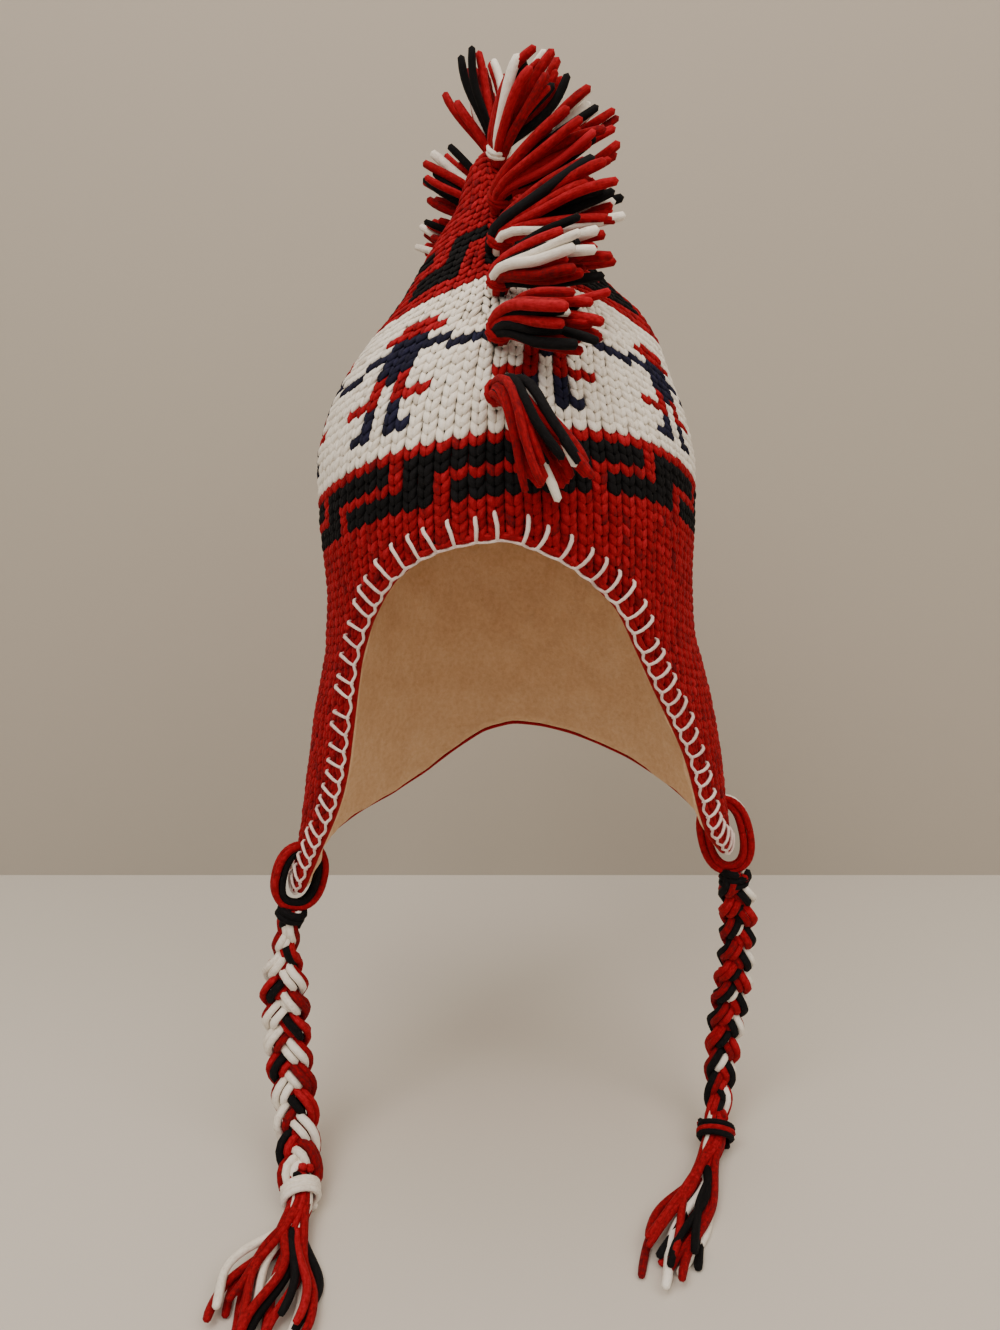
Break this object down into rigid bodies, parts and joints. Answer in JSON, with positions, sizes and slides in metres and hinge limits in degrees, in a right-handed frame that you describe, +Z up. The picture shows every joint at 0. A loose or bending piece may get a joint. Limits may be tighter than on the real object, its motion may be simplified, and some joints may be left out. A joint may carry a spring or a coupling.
{
  "type": "knitted winter hat with ear flaps",
  "caption": "Knitted earflap hat with a pointed crown, a crest of yarn tufts, fleece-lined flaps, and braided ties that end in tassels.",
  "frame": {"origin": "where the top of the wearer's head sits inside the crown", "axes": "+Z up through the crown's point, -Y towards the face opening, +X to the right as seen from in front"},
  "size_m": [0.2873, 0.3265, 0.5912],
  "materials": {
    "red_wool": "brushed yarn",
    "black_wool": "brushed yarn",
    "white_wool": "brushed yarn",
    "cream_fleece": "fleece"
  },
  "bodies": {
    "root": {"crown": "red_wool", "lining": "cream_fleece", "crest_tuft_01": "red_wool", "crest_tuft_02": "black_wool", "crest_tuft_03": "red_wool", "crest_tuft_04": "white_wool", "crest_tuft_05": "red_wool", "crest_tuft_06": "black_wool", "crest_tuft_07": "red_wool", "crest_tuft_08": "white_wool", "crest_tuft_09": "red_wool", "crest_tuft_10": "black_wool", "crest_tuft_11": "red_wool", "crest_tuft_12": "white_wool", "tie_loop_left": "red_wool", "braid_left": "red_wool", "tassel_wrap_left": "white_wool", "tassel_left": "red_wool", "tie_loop_right": "red_wool", "braid_right": "red_wool", "tassel_wrap_right": "black_wool", "tassel_right": "red_wool"}
  },
  "joints": []
}
